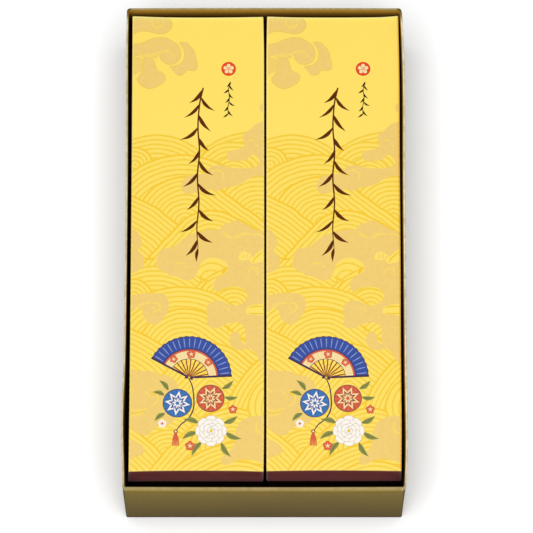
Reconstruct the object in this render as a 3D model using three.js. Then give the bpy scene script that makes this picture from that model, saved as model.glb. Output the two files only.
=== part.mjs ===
// An open gift box for bar cakes: a board tray covered in ochre paper, with two long lidded cartons
// lying side by side in it. Millimetres, +Z up. The origin is the middle of the tray's underside,
// and the long side runs along Y. The finger gap is at the -Y end.
import * as THREE from "three";

// The tray, outside.
const trayWidth = 172;
const trayLength = 309.5;
const trayHeight = 75;
const boardThickness = 1.5; // the walls, with their paper
const floorThickness = 1.8;
const trayCornerRadius = 2.2;
const rimBulge = 0.9; // how far the middle of a long wall leans out at the rim
const endBulge = 0.25; // the same on a short wall
const baseEdgeRadius = 0.8;

// One carton, closed.
const packWidth = 82.2;
const packLength = 292;
const packHeight = 67.6;
const packCornerRadius = 1.6;
const packEdgeRadius = 1.1;
const lidSkirt = 23; // depth of the lid's side walls
const lidStep = 0.8; // how far the lid stands proud of the carton's base
const lidEndStep = 0.7; // the same at the two ends
const skirtFlare = 0.4; // how far the lower edge of the skirt splays out
const endHollow = -0.45; // the short edges of the lid are drawn in at their middle
const baseChamfer = 0.6;

// How the cartons lie in the tray.
const packGap = 1.5; // between the two cartons
const packShift = 0.45; // both lie a little towards +X
const fingerGap = 11.9; // between the cartons and the -Y wall
const restClearance = 0.3;

// Fineness of the outlines.
const cornerSteps = 5;
const longSideSteps = 14;
const shortSideSteps = 8;
const roundSteps = 4;
const baseSteps = 2;
const leastRadius = 0.4;
const wallLevels = [0.35, 0.7]; // shares of the tray's height where its walls get a ring

const quarterTurn = Math.PI / 2;

// A rounded rectangle's points, anticlockwise seen from above. The middle of each long side is
// pushed out by sideBulge and that of each short side by endBulge, in a shallow parabola.
function outline({ width, length, radius, sideBulge = 0, endBulge: shortBulge = 0 }) {
  const points = [];
  const halfWidth = width / 2 - radius;
  const halfLength = length / 2 - radius;
  const centres = [
    [halfWidth, halfLength],
    [-halfWidth, halfLength],
    [-halfWidth, -halfLength],
    [halfWidth, -halfLength],
  ];
  for (let corner = 0; corner < 4; corner += 1) {
    const [x, y] = centres[corner];
    const startAngle = corner * quarterTurn;
    for (let step = 0; step <= cornerSteps; step += 1) {
      const angle = startAngle + (quarterTurn * step) / cornerSteps;
      points.push(new THREE.Vector2(x + radius * Math.cos(angle), y + radius * Math.sin(angle)));
    }
    const isShortSide = corner % 2 === 0;
    const steps = isShortSide ? shortSideSteps : longSideSteps;
    const bulge = isShortSide ? shortBulge : sideBulge;
    const [nextX, nextY] = centres[(corner + 1) % 4];
    const outwards = startAngle + quarterTurn;
    for (let step = 1; step < steps; step += 1) {
      const along = step / steps;
      const reach = radius + 4 * bulge * along * (1 - along);
      points.push(
        new THREE.Vector2(
          x + (nextX - x) * along + reach * Math.cos(outwards),
          y + (nextY - y) * along + reach * Math.sin(outwards),
        ),
      );
    }
  }
  return points;
}

// A closed body lofted through rings, each { z, points } with the same number of points. The first
// ring is closed by a face that looks up and the last by one that looks down.
function loft(rings) {
  const perRing = rings[0].points.length;
  const positions = [];
  for (const ring of rings) {
    for (const point of ring.points) {
      positions.push(point.x, point.y, ring.z);
    }
  }
  const first = rings[0];
  const last = rings[rings.length - 1];
  const firstCentre = positions.length / 3;
  positions.push(0, 0, first.z);
  const lastCentre = firstCentre + 1;
  positions.push(0, 0, last.z);

  const faces = [];
  const lastStart = (rings.length - 1) * perRing;
  for (let i = 0; i < perRing; i += 1) {
    const next = (i + 1) % perRing;
    faces.push(firstCentre, i, next);
    faces.push(lastCentre, lastStart + next, lastStart + i);
    for (let ring = 0; ring < rings.length - 1; ring += 1) {
      const here = ring * perRing;
      const below = here + perRing;
      faces.push(here + i, below + i, here + next);
      faces.push(here + next, below + i, below + next);
    }
  }
  const geometry = new THREE.BufferGeometry();
  geometry.setAttribute("position", new THREE.Float32BufferAttribute(positions, 3));
  geometry.setIndex(faces);
  geometry.computeVertexNormals();
  return geometry;
}

// The tray's wall leans out towards the rim, where nothing holds it.
function trayRing(z, inset) {
  const lean = (z / trayHeight) ** 2;
  return {
    z,
    points: outline({
      width: trayWidth - 2 * inset,
      length: trayLength - 2 * inset,
      radius: Math.max(trayCornerRadius - inset, leastRadius),
      sideBulge: rimBulge * lean,
      endBulge: endBulge * lean,
    }),
  };
}

function trayGeometry() {
  const halfBoard = boardThickness / 2;
  const rimCentre = trayHeight - halfBoard;
  const rings = [trayRing(floorThickness, boardThickness)];
  for (const level of wallLevels) {
    rings.push(trayRing(trayHeight * level, boardThickness));
  }
  for (let step = 0; step <= 2 * roundSteps; step += 1) {
    const angle = (Math.PI * step) / (2 * roundSteps);
    rings.push(trayRing(rimCentre + halfBoard * Math.sin(angle), halfBoard + halfBoard * Math.cos(angle)));
  }
  for (const level of wallLevels.toReversed()) {
    rings.push(trayRing(trayHeight * level, 0));
  }
  for (let step = 0; step <= baseSteps; step += 1) {
    const angle = (quarterTurn * step) / baseSteps;
    rings.push(trayRing(baseEdgeRadius * (1 - Math.sin(angle)), baseEdgeRadius * (1 - Math.cos(angle))));
  }
  return loft(rings);
}

// One level of a carton: spread makes it wider than the lid's top, endSpread longer, and hollow
// draws its short sides in.
function packRing(z, spread, endSpread, hollow) {
  return {
    z,
    points: outline({
      width: packWidth + 2 * spread,
      length: packLength + 2 * endSpread,
      radius: Math.max(packCornerRadius + spread, leastRadius),
      endBulge: hollow,
    }),
  };
}

function packGeometry() {
  const rings = [];
  for (let step = 0; step <= roundSteps; step += 1) {
    const angle = (quarterTurn * step) / roundSteps;
    const inset = packEdgeRadius * (1 - Math.sin(angle));
    const z = packHeight - packEdgeRadius * (1 - Math.cos(angle));
    rings.push(packRing(z, -inset, -inset, endHollow));
  }
  const skirtBottom = packHeight - lidSkirt;
  const skirtMiddle = packHeight - lidSkirt / 2;
  rings.push(packRing(skirtMiddle, skirtFlare / 2, 0, endHollow / 2));
  rings.push(packRing(skirtBottom, skirtFlare, 0, 0));
  rings.push(packRing(skirtBottom, -lidStep, -lidEndStep, 0));
  rings.push(packRing(skirtBottom / 2, -lidStep, -lidEndStep, 0));
  rings.push(packRing(baseChamfer, -lidStep, -lidEndStep, 0));
  rings.push(packRing(0, -lidStep - baseChamfer, -lidEndStep - baseChamfer, 0));
  return loft(rings);
}

const trayPaper = new THREE.MeshStandardMaterial({ color: 0x9a8243, roughness: 0.55, metalness: 0.1 });
const printedCarton = new THREE.MeshStandardMaterial({ color: 0xf8d860, roughness: 0.5, metalness: 0 });

const giftBox = new THREE.Group();

const tray = new THREE.Mesh(trayGeometry(), trayPaper);
tray.name = "tray";
giftBox.add(tray);

// Both cartons lie flat on the tray's floor.
const packs = new THREE.Group();
packs.position.set(
  packShift,
  -trayLength / 2 + boardThickness + fingerGap + packLength / 2,
  floorThickness + restClearance,
);
giftBox.add(packs);

for (const [name, side] of [["pack_left", -1], ["pack_right", 1]]) {
  const pack = new THREE.Mesh(packGeometry(), printedCarton.clone());
  pack.name = name;
  pack.position.x = (side * (packWidth + packGap)) / 2;
  packs.add(pack);
}

export default giftBox;
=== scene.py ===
import math
import random
import bmesh
import bpy
import numpy as np
from mathutils import Color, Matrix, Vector
from mathutils.geometry import delaunay_2d_cdt
from mathutils.kdtree import KDTree


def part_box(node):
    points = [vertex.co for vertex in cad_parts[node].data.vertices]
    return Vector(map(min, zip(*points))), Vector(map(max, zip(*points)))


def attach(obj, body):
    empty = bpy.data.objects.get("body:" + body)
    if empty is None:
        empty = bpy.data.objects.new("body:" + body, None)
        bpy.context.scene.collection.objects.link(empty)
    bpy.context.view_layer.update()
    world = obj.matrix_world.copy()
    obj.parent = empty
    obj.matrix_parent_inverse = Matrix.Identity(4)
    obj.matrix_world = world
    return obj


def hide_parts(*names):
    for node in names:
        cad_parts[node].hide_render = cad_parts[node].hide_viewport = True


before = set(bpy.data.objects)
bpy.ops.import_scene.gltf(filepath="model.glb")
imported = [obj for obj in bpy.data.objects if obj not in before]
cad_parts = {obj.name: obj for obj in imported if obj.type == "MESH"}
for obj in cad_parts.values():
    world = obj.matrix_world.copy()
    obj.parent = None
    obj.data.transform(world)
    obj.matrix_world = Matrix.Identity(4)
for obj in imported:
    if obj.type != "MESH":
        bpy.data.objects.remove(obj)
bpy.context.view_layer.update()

mm = 0.001
packNodes = {"left": "pack_left", "right": "pack_right"}


def addObject(name, data):
    thing = bpy.data.objects.new(name, data)
    bpy.context.scene.collection.objects.link(thing)
    return thing


def addPiece(name, points, faces, materials, foldAngle=None, skins=None, wearAndPaintedLight=None, smooth=None):
    mesh = bpy.data.meshes.new(name)
    mesh.from_pydata([tuple(point) for point in points], [], faces)
    for material in materials:
        mesh.materials.append(material)
    if skins:
        mesh.polygons.foreach_set("material_index", skins)
    if wearAndPaintedLight:
        mesh.attributes.new("wearAndPaintedLight", "FLOAT", "POINT").data.foreach_set("value", wearAndPaintedLight)
    mesh.polygons.foreach_set("use_smooth", smooth or [True] * len(mesh.polygons))
    mesh.validate()
    if foldAngle:
        # faces look outwards, and those that meet at a sharper fold keep their own shading
        bm = bmesh.new()
        bm.from_mesh(mesh)
        bmesh.ops.recalc_face_normals(bm, faces=bm.faces[:])
        for edge in bm.edges:
            edge.smooth = len(edge.link_faces) == 2 and edge.calc_face_angle(0) < math.radians(foldAngle)
        bm.to_mesh(mesh)
        bm.free()
    mesh.update()
    return addObject(name, mesh)


def feed(socket, value):
    if isinstance(value, bpy.types.NodeSocket):
        socket.id_data.links.new(value, socket)
    else:
        socket.default_value = value


def addNode(tree, kind, sockets=None, **settings):
    node = tree.nodes.new("ShaderNode" + kind)
    for name, value in settings.items():
        setattr(node, name, value)
    for name, value in (sockets or {}).items():
        feed(node.inputs[name], value)
    return node


def follow(kind, sockets, output, **settings):
    # an output of a node in the same tree as the sockets that feed it
    tree = next(value.id_data for value in sockets.values() if isinstance(value, bpy.types.NodeSocket))
    return addNode(tree, kind, sockets, **settings).outputs[output]


def doMath(operation, first, second=0.0, clamp=False):
    return follow("Math", {0: first, 1: second}, 0, operation=operation, use_clamp=clamp)


def times(first, second, clamp=False):
    return doMath("MULTIPLY", first, second, clamp)


def doVector(operation, first, second, output="Vector"):
    return follow("VectorMath", {0: first, 1: second}, output, operation=operation)


def axes(vector):
    return addNode(vector.id_data, "SeparateXYZ", {0: vector}).outputs


def fade(value, start, end, low=0.0, high=1.0, shape="SMOOTHSTEP"):
    # from low at start to high at end
    sockets = {"Value": value, "From Min": start, "From Max": end, "To Min": low, "To Max": high}
    return follow("MapRange", sockets, "Result", interpolation_type=shape)


def blendColours(share, first, second, mode="MIX"):
    return follow("Mix", {0: share, 6: first, 7: second}, 2, data_type="RGBA", blend_type=mode)


def grain(place, scale, detail=3.0, roughness=0.55):
    sockets = {"Vector": place, "Scale": scale, "Detail": detail, "Roughness": roughness}
    return follow("TexNoise", sockets, "Fac")


def mottle(place, look):
    # look holds a noise and the range it is faded over
    noise, limits = look
    return fade(grain(place, *noise), *limits)


def newMaterial(name, finish):
    # gives the material, its shader's inputs and the place on the piece
    material = bpy.data.materials.new(name)
    material.use_nodes = True
    shader = material.node_tree.nodes["Principled BSDF"].inputs
    shader["Specular IOR Level"].default_value = finish["specular"]
    return material, shader, addNode(material.node_tree, "TexCoord").outputs["Object"]


def wearAndPaintedLightAt(place):
    # how worn and how lit the piece is painted: 1 is pale, from rubbed wear and painted highlight, and less
    # than 0 is dark, painted shade
    return addNode(place.id_data, "Attribute", attribute_name="wearAndPaintedLight").outputs["Fac"]


fibreRange = (0.3, 0.7)  # the values that the fibre's noise mostly takes


def coat(shader, finish, colour, fibre, height=None):
    # colour, gloss and relief; a pair of roughnesses follows the fibre
    feed(shader["Base Color"], colour)
    roughness = finish["roughness"]
    if isinstance(roughness, tuple):
        roughness = fade(fibre, *fibreRange, *roughness)
    feed(shader["Roughness"], roughness)
    strength, depth = finish["relief"]
    bump = follow("Bump", {"Height": height or fibre, "Strength": strength, "Distance": depth}, "Normal")
    feed(shader["Normal"], bump)


def buildBoard(name, finish):
    # plain board of two tones, mixed by its fibre
    material, shader, place = newMaterial(name, finish)
    fibre = grain(place, *finish["fibre"])
    coat(shader, finish, blendColours(fade(fibre, *finish["mix"]), *finish["tones"]), fibre)
    return material


studio = {
    "cameraPlace": (0.0014, -0.7321, 2.6321),
    "cameraTilt": 15.7,  # degrees off straight down
    "lens": 291.5,
    "sensor": 36,
    "sightEnd": 100,
    "lightPlace": (-0.05, -0.6, 3.2),
    "lightSize": 2.4,
    "lightWatts": 116.5,
    "air": (0.97, 0.985, 1.0, 1),
    "airStrength": 0.3,
    "floorSize": 30,
    "floorTone": (0.94, 0.94, 0.94, 1),
    "floorRoughness": 0.9,
}


def buildStudio():
    scene = bpy.context.scene
    scene.view_settings.view_transform = "Standard"
    scene.view_settings.look = "None"
    eye = bpy.data.cameras.new("camera")
    eye.lens = studio["lens"]
    eye.sensor_width = studio["sensor"]
    eye.clip_end = studio["sightEnd"]
    camera = addObject("camera", eye)
    camera.location = studio["cameraPlace"]
    camera.rotation_euler = (math.radians(studio["cameraTilt"]), 0, 0)
    scene.camera = camera

    lamp = bpy.data.lights.new("topLight", "AREA")
    lamp.shape = "SQUARE"
    lamp.size = studio["lightSize"]
    lamp.energy = studio["lightWatts"]
    light = addObject("topLight", lamp)
    light.location = studio["lightPlace"]
    light.rotation_euler = (-light.location).to_track_quat("-Z", "Y").to_euler()

    air = bpy.data.worlds.new("air")
    air.use_nodes = True
    glow = air.node_tree.nodes["Background"].inputs
    glow["Color"].default_value = studio["air"]
    glow["Strength"].default_value = studio["airStrength"]
    scene.world = air

    half = studio["floorSize"] / 2
    corners = [(-half, -half, 0), (half, -half, 0), (half, half, 0), (-half, half, 0)]
    paper = bpy.data.materials.new("floorPaper")
    paper.use_nodes = True
    shader = paper.node_tree.nodes["Principled BSDF"].inputs
    shader["Base Color"].default_value = studio["floorTone"]
    shader["Roughness"].default_value = studio["floorRoughness"]
    floor = addPiece("floor", corners, [(0, 1, 2, 3)], [paper])


buildStudio()
print("studio ready")


def roundedOutline(halfWidth, halfLength, radius, steps, push):
    # a rounded rectangle, anticlockwise; push(side, place) moves a point of a side outwards
    corners = [(1, 1), (-1, 1), (-1, -1), (1, -1)]
    sides = ["far", "left", "near", "right"]
    centres = [Vector((x * (halfWidth - radius), y * (halfLength - radius))) for x, y in corners]
    points = []
    for index, centre in enumerate(centres):
        start = index * math.pi / 2
        for step in range(steps["corner"] + 1):
            angle = start + math.pi / 2 * step / steps["corner"]
            points.append(centre + radius * Vector((math.cos(angle), math.sin(angle))))
        following = centres[(index + 1) % 4]
        outwards = Vector((math.cos(start + math.pi / 2), math.sin(start + math.pi / 2)))
        count = steps["short"] if index % 2 == 0 else steps["long"]
        # the first and last points of a side lie close to the corners
        beside = steps["beside"] / (following - centre).length
        for share in [beside] + [step / count for step in range(1, count)] + [1 - beside]:
            place = centre.lerp(following, share) + radius * outwards
            points.append(place + outwards * push(sides[index], place))
    return points


def joinRings(rings):
    # skins a stack of rings: "points", "skin" (material of the band that follows) and "worn" (a share for
    # the ring, or "shares" with one for each point)
    points, wearAndPaintedLight, faces, skins = [], [], [], []
    count = len(rings[0]["points"])
    for ring in rings:
        points += ring["points"]
        wearAndPaintedLight += ring.get("shares") or [ring["wearAndPaintedLight"]] * count
    for level in range(len(rings) - 1):
        here, below = level * count, (level + 1) * count
        for index in range(count):
            following = (index + 1) % count
            faces.append((here + index, below + index, below + following, here + following))
            skins.append(rings[level]["skin"])
    return points, wearAndPaintedLight, faces, skins, count


tray = {
    "width": 172 * mm,
    "length": 309.5 * mm,
    "height": 75 * mm,
    "board": 1.2 * mm,
    "thickerNear": 1.5 * mm,  # the near wall is doubled
    "thickerFar": 0.25 * mm,
    "thickerRight": 0.12 * mm,
    "nearRight": (0.25 * mm, -155, 25),  # how far that corner is drawn in, about where, and over how many mm
    "floor": 1.8 * mm,
    "footRadius": 1.0 * mm,
    "rimRadius": 2.2 * mm,
    "leastRadius": 0.5 * mm,
    "baseEdge": 0.8 * mm,
    "turnIn": 18 * mm,  # how far the paper is turned down inside
    "paperStep": 0.14 * mm,
    "underTurn": 16 * mm,  # how far it is turned in underneath
    "flap": 8 * mm,  # the end paper stops this far from the corners
    "seam": 0.25 * mm,
    "foldAngle": 40,
    "steps": {"corner": 8, "long": 48, "short": 24, "beside": 1 * mm, "rim": 12, "base": 4},
    "insideLevels": [9, 22, 36, 48],  # mm up, rings on the plain wall
    "turnInLevels": [0, 0.35, 0.7],  # shares of the turn-in
    "outsideLevels": [66, 58, 48, 36, 24, 12, 4],
    # mm by which a long wall bows out at the rim: all along it, then humps as (push, centre, spread)
    "bows": {
        "right": (1.22, [(0.5, 104, 42), (0.5, -130, 34)]),
        "left": (0, [(1.24, -114, 30), (-0.3, 0, 60), (0.3, 135, 26), (-0.18, 50, 35)]),
    },
    "bowTaper": 9,
    "endBow": 0.25 * mm,
    "rimBand": 3 * mm,  # rim points this close to a long side belong to its wall
    # how pale the rim is, from rubbed wear and painted highlight, at its outer and its inner edge; less than
    # 0 is painted shade
    "rimWearAndHighlight": {"left": (0.92, 0.6), "right": (0.9, 0.85), "far": (0.33, 0.12), "near": (0.04, 0.3)},
    # at the rim's corners: painted shade at the far end, pale at the near end
    "cornerShadeAndWear": {"far": -0.7, "near": 0.25},
    "cornerReach": (2, 6),  # mm from the end over which the corner's wear passes into the side's
    "baseWear": 0.25,
    "underWear": 0.1,
    "paper": {
        "specular": 0.006,
        "roughness": (0.42, 0.58),
        "relief": (0.4, 0.16 * mm),
        "blotch": ((22, 4), (0.3, 0.7)),
        "fibre": (1500, 2),
        "fibreStretch": (1, 0.35, 1),
        "scuff": ((260, 3), (0.3, 0.7, 0.55, 1.0)),
        "tones": [(0.254, 0.175, 0.036, 1), (0.228, 0.159, 0.036, 1)],
        # low is the painted shade towards the foot; foot is the colour of the painted shade in the foot band,
        # corner folds and far rim corners, and of the real dark cut edges and mitres
        "low": (0.092, 0.067, 0.023, 1),
        "foot": (0.046, 0.038, 0.020, 1),
        "pale": (0.85, 0.76, 0.52, 1),
        # painted shade that darkens the walls towards the foot
        "paintedFootShade": {"ends": 0.86, "sides": 0.5, "power": 0.65},  # of the walls towards the foot
        # mm between which a painted contact shadow fades out up the wall
        "footShadowBand": (0.8 * mm, 4 * mm),
        # painted shade on the folds between the walls
        "paintedCornerDark": 2.2,  # of the folds between the walls, 4 and more for a full dark line
        "cutEdge": (0.3 * mm, 0.12),  # how wide and how dark a cut edge of the paper shows
        "mitre": (0.1 * mm, 0.5 * mm),
        "mitreDark": 0.8,
    },
    "inside": {
        "specular": 0.006,
        "roughness": 0.6,
        "relief": (0.3, 0.08 * mm),
        "fibre": (1500, 2),
        # painted light at the top of the turn-in, painted shade lower down
        "tones": [(0.45, 0.25, 0.034, 1), (0.056, 0.026, 0.008, 1)],
        "darkFrom": 1 * mm,  # under the rim
    },
    # the inside below the turn-in and the floor are near black; this dark paints the shade of the deep gaps
    # round the cartons
    "lining": {
        "specular": 0.2,
        "roughness": 0.75,
        "relief": (0.3, 0.1 * mm),
        "fibre": (900, 3),
        "mix": (0.3, 0.7),
        "tones": [(0.010, 0.006, 0.004, 1), (0.016, 0.010, 0.006, 1)],
    },
    "greyboard": {
        "specular": 0.15,
        "roughness": 0.9,
        "relief": (0.4, 0.12 * mm),
        "fibre": (700, 4, 0.7),
        "mix": (0.35, 0.65),
        "tones": [(0.20, 0.18, 0.15, 1), (0.30, 0.27, 0.22, 1)],
    },
}


def hump(value, centre, spread):
    return math.exp(-(((value - centre) / spread) ** 2))


def trayPush(side, place, lean):
    # the long walls bow where nothing holds them, each in its own way
    if side in tray["bows"]:
        even, humps = tray["bows"][side]
        bow = even + sum(push * hump(place.y / mm, centre, spread) for push, centre, spread in humps)
        return mm * lean * bow * (1 - abs(place.y / (tray["length"] / 2)) ** tray["bowTaper"])
    return tray["endBow"] * lean * (1 - (place.x / (tray["width"] / 2)) ** 2)


def rimWearAndHighlight(point, inner):
    end = "far" if point.y > 0 else "near"
    shares = tray["rimWearAndHighlight"][end]
    if abs(point.x) > tray["width"] / 2 - tray["rimBand"]:
        start, reach = tray["cornerReach"]
        kept = min(max((tray["length"] / 2 - abs(point.y)) / mm - start, 0) / reach, 1)
        corner = tray["cornerShadeAndWear"][end]
        shares = tray["rimWearAndHighlight"]["right" if point.x > 0 else "left"]
        shares = [corner + (share - corner) * kept for share in shares]
    return shares[0] + (shares[1] - shares[0]) * inner


def trayRing(height, inset, skin, wearAndPaintedLight=0.0, inner=0.0):
    # inner is how far the ring has come from the outside of the wall (0) to its inside (1)
    lean = (height / tray["height"]) ** 2
    radius = tray["footRadius"] + (tray["rimRadius"] - tray["footRadius"]) * lean
    flat = roundedOutline(
        tray["width"] / 2 - inset,
        tray["length"] / 2 - inset,
        max(radius - inset, tray["leastRadius"]),
        tray["steps"],
        lambda side, place: trayPush(side, place, lean),
    )
    drawnIn, centre, spread = tray["nearRight"]
    points, shares = [], []
    for p in flat:
        along = p.y / tray["length"]
        shift = tray["thickerNear"] * (0.5 - along) - tray["thickerFar"] * (0.5 + along)
        towardsRight = max(0, p.x / (tray["width"] / 2)) ** 2
        nearRight = drawnIn * towardsRight * hump(p.y / mm, centre, spread)
        sway = tray["thickerRight"] * inner + nearRight * (1 - 2 * inner)
        points.append(Vector((p.x - sway, p.y + shift * inner, height)))
        shares.append(wearAndPaintedLight * rimWearAndHighlight(p, inner))
    return {"points": points, "skin": skin, "shares": shares}


def buildTrayPaper():
    paper = tray["paper"]
    material, shader, place = newMaterial("ochrePaper", paper)
    parts, wearAndPaintedLight = axes(place), wearAndPaintedLightAt(place)
    facing = axes(addNode(place.id_data, "NewGeometry").outputs["Normal"])
    onSides = times(facing["X"], facing["X"])
    onEnds = times(facing["Y"], facing["Y"])
    onWalls = doMath("ADD", onSides, onEnds)
    beneath = doMath("SUBTRACT", 1.0, onWalls, clamp=True)
    colour = blendColours(mottle(place, paper["blotch"]), *paper["tones"])
    # painted shade: the walls darken towards the foot, their ends most
    paintedFootShade = paper["paintedFootShade"]
    depth = fade(parts["Z"], tray["height"], 0.0, shape="LINEAR")
    depth = doMath("POWER", depth, paintedFootShade["power"])
    endShade, sideShade = times(onEnds, paintedFootShade["ends"]), times(onSides, paintedFootShade["sides"])
    footShadeShare = times(depth, doMath("ADD", endShade, sideShade))
    colour = blendColours(footShadeShare, colour, paper["low"])
    # painted contact shadow in a band along the very foot of the walls
    foot = times(fade(parts["Z"], *paper["footShadowBand"], 1.0, 0.0), onWalls)
    # the end papers lie over the turned corners with a cut edge
    across = doMath("ABSOLUTE", parts["X"])
    edge = tray["width"] / 2 - tray["flap"]
    overlap = times(fade(across, edge, edge + tray["seam"], 1.0, 0.0), onEnds)
    width, share = paper["cutEdge"]
    cut = doMath("ABSOLUTE", doMath("SUBTRACT", across, edge))
    cut = times(fade(cut, 0.0, width, share, 0.0), onEnds)
    # underneath, the turned papers meet in a mitre at each corner
    fromSide = doMath("SUBTRACT", tray["width"] / 2, across)
    fromEnd = doMath("SUBTRACT", tray["length"] / 2, doMath("ABSOLUTE", parts["Y"]))
    mitre = doMath("ABSOLUTE", doMath("SUBTRACT", fromSide, fromEnd))
    mitre = times(fade(mitre, *paper["mitre"], paper["mitreDark"], 0.0), beneath)
    # painted shade darkens the folds at the corners; the rim is pale from rubbed wear and painted highlight
    cornerFoldShade = times(times(onSides, onEnds), paper["paintedCornerDark"])
    # painted shade at the far rim corners, where the share is below 0
    farRimCornerShade = times(wearAndPaintedLight, -1.0, clamp=True)
    # the cut edge and mitre are real dark joints; the foot band, corner folds and far rim corners are painted
    # shade
    for share in (foot, cut, mitre, cornerFoldShade, farRimCornerShade):
        colour = blendColours(share, colour, paper["foot"])
    # the pale rim: rubbed wear and painted highlight
    paleWearAndHighlight = times(wearAndPaintedLight, mottle(place, paper["scuff"]), clamp=True)
    colour = blendColours(paleWearAndHighlight, colour, paper["pale"])
    fibre = grain(doVector("MULTIPLY", place, paper["fibreStretch"]), *paper["fibre"])
    height = times(doMath("ADD", fibre, overlap), 0.5)
    coat(shader, paper, colour, fibre, doMath("SUBTRACT", height, mitre))
    return material


def buildInsidePaper():
    # the turn-in: painted light makes its top brighter and more golden than the outside paper, and painted
    # shade darkens it downwards
    inside = tray["inside"]
    material, shader, place = newMaterial("turnedPaper", inside)
    top = tray["height"]
    low = fade(axes(place)["Z"], top - tray["turnIn"], top - inside["darkFrom"], 1.0, 0.0)
    colour = blendColours(low, *inside["tones"])
    coat(shader, inside, colour, grain(place, *inside["fibre"]))
    return material


def buildTray():
    board, top, step, steps = tray["board"], tray["height"], tray["paperStep"], tray["steps"]
    paper, lining, grey, inside = 0, 1, 2, 3
    turned = top - tray["turnIn"]
    levels = [tray["floor"]] + [level * mm for level in tray["insideLevels"]]
    rings = [trayRing(level, board + step, lining, inner=1) for level in levels]
    rings.append(trayRing(turned, board + step, inside, inner=1))
    for share in tray["turnInLevels"]:
        rings.append(trayRing(turned + tray["turnIn"] * share, board, inside, inner=1))
    half = board / 2
    for index in range(steps["rim"] + 1):
        angle = math.pi * index / steps["rim"]
        rim, inset = math.sin(angle), half + half * math.cos(angle)
        rings.append(trayRing(top - half + half * rim, inset, paper, rim, inner=inset / board))
    for level in tray["outsideLevels"]:
        rings.append(trayRing(level * mm, 0, paper))
    edge = tray["baseEdge"]
    for index in range(steps["base"] + 1):
        angle = math.pi / 2 * index / steps["base"]
        height, inset = edge * (1 - math.sin(angle)), edge * (1 - math.cos(angle))
        rings.append(trayRing(height, inset, paper, tray["baseWear"] * math.sin(2 * angle)))
    rings.append(trayRing(0, tray["underTurn"], paper, tray["underWear"]))
    rings.append(trayRing(step, tray["underTurn"], grey))
    points, wearAndPaintedLight, faces, skins, count = joinRings(rings)
    last = len(points) - count
    points += [Vector((0, 0, tray["floor"])), Vector((0, 0, step))]
    wearAndPaintedLight += [0.0, 0.0]
    for index in range(count):
        following = (index + 1) % count
        faces.append((len(points) - 2, index, following))
        faces.append((len(points) - 1, last + following, last + index))
        skins += [lining, grey]
    boards = [buildBoard("shadeDarkLining", tray["lining"]), buildBoard("greyboard", tray["greyboard"])]
    materials = [buildTrayPaper(), *boards, buildInsidePaper()]
    piece = addPiece("coveredTray", points, faces, materials, tray["foldAngle"], skins, wearAndPaintedLight)
    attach(piece, "root")
    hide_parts("tray")


buildTray()
print("tray ready")


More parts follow.
